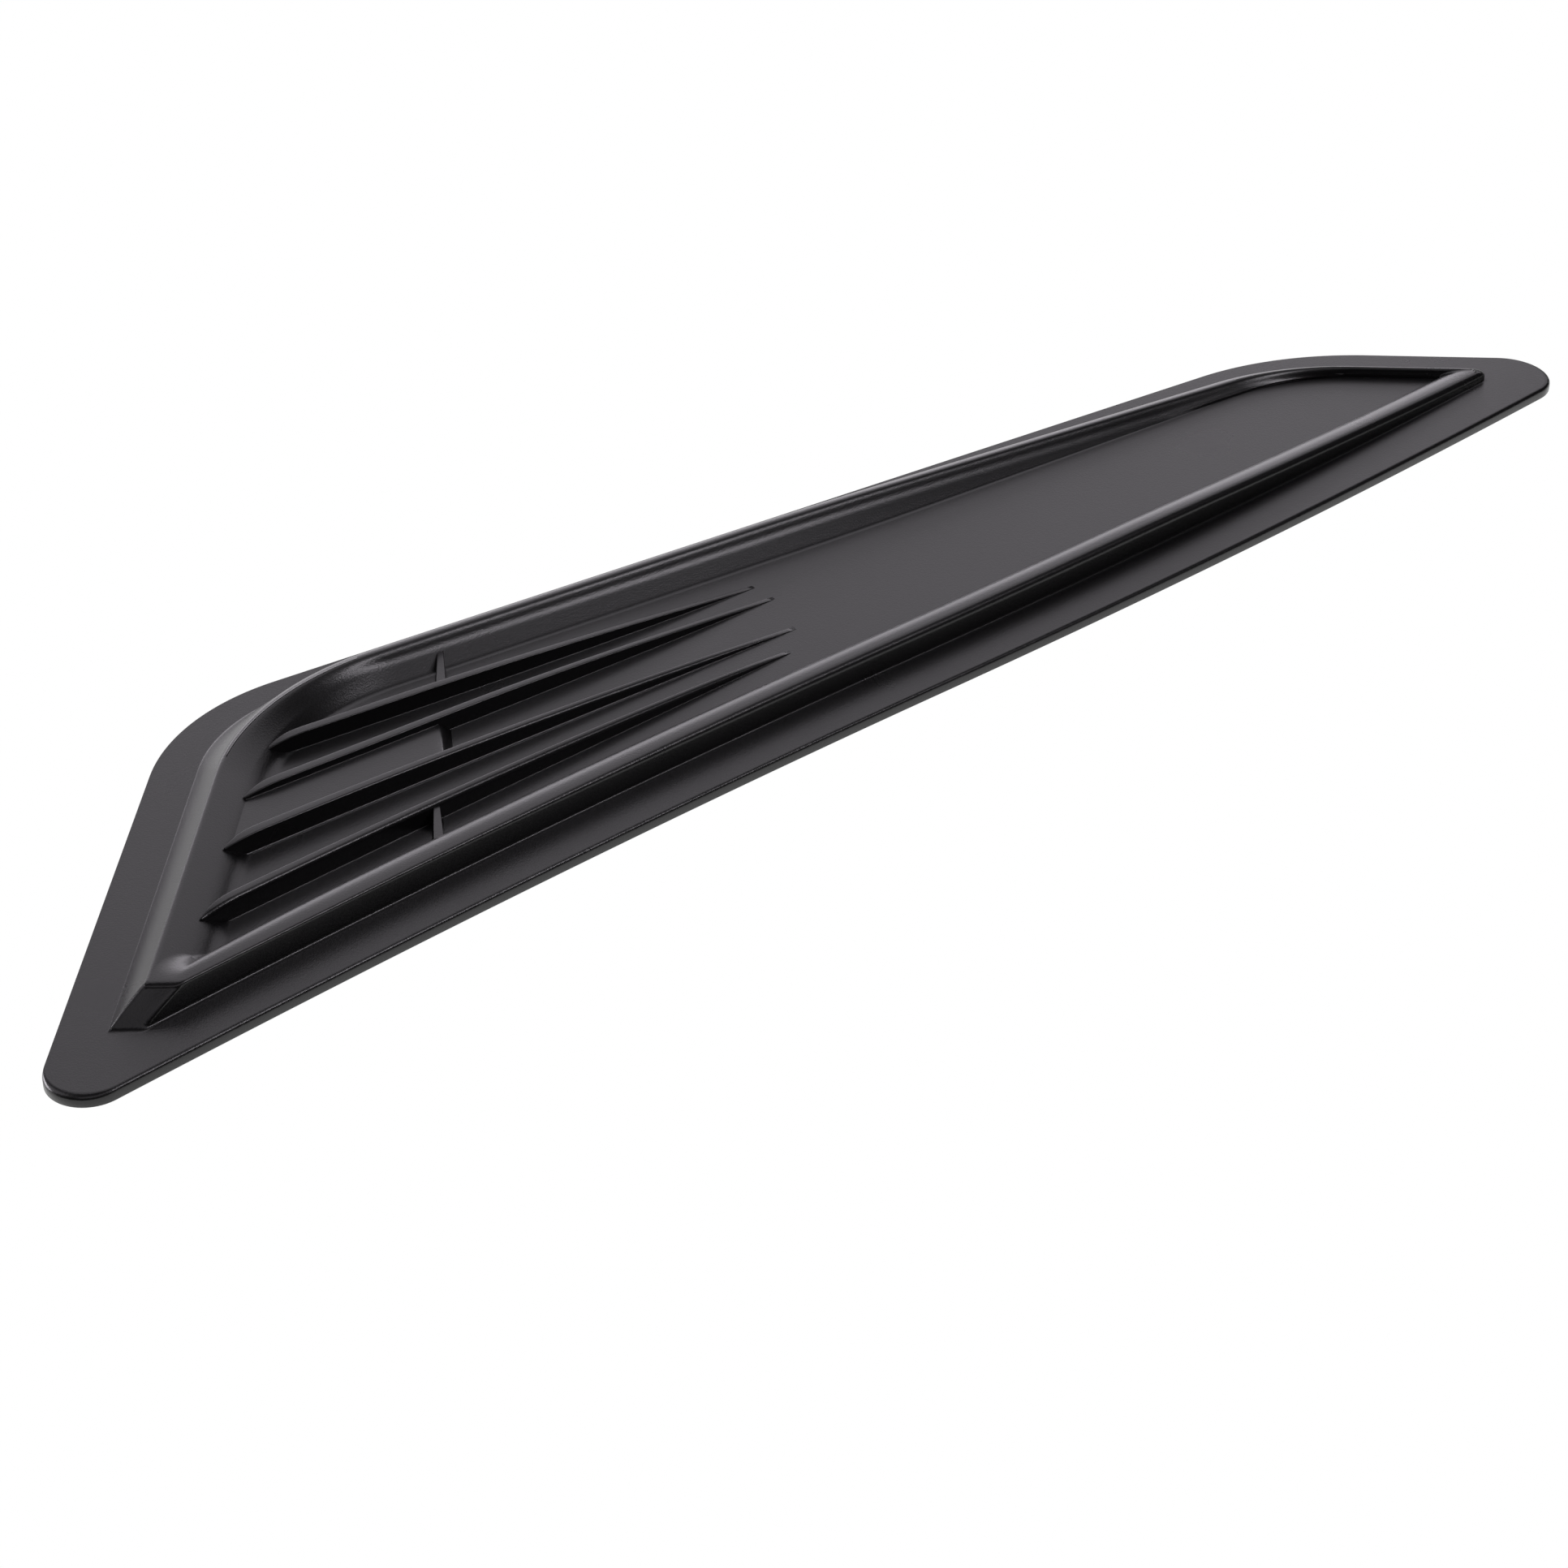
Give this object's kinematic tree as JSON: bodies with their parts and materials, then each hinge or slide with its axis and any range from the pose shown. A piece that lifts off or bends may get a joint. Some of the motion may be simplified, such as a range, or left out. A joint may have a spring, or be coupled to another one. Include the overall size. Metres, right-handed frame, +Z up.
{
  "type": "bonnet scoop",
  "caption": "Long slanted bonnet scoop moulding with a flat bonding flange, a raised rim round a sunk well, and slim tapering fins.",
  "frame": {"origin": "middle of the plan box, on the underside of the flange", "axes": "+X along the length towards the narrow end, +Y towards the slanting long side, +Z up out of the bonnet"},
  "size_m": [0.4206, 0.0971, 0.008],
  "materials": {
    "satin_plastic": "satin black, moulded"
  },
  "bodies": {
    "root": {"scoop_moulding": "satin_plastic"}
  },
  "joints": []
}
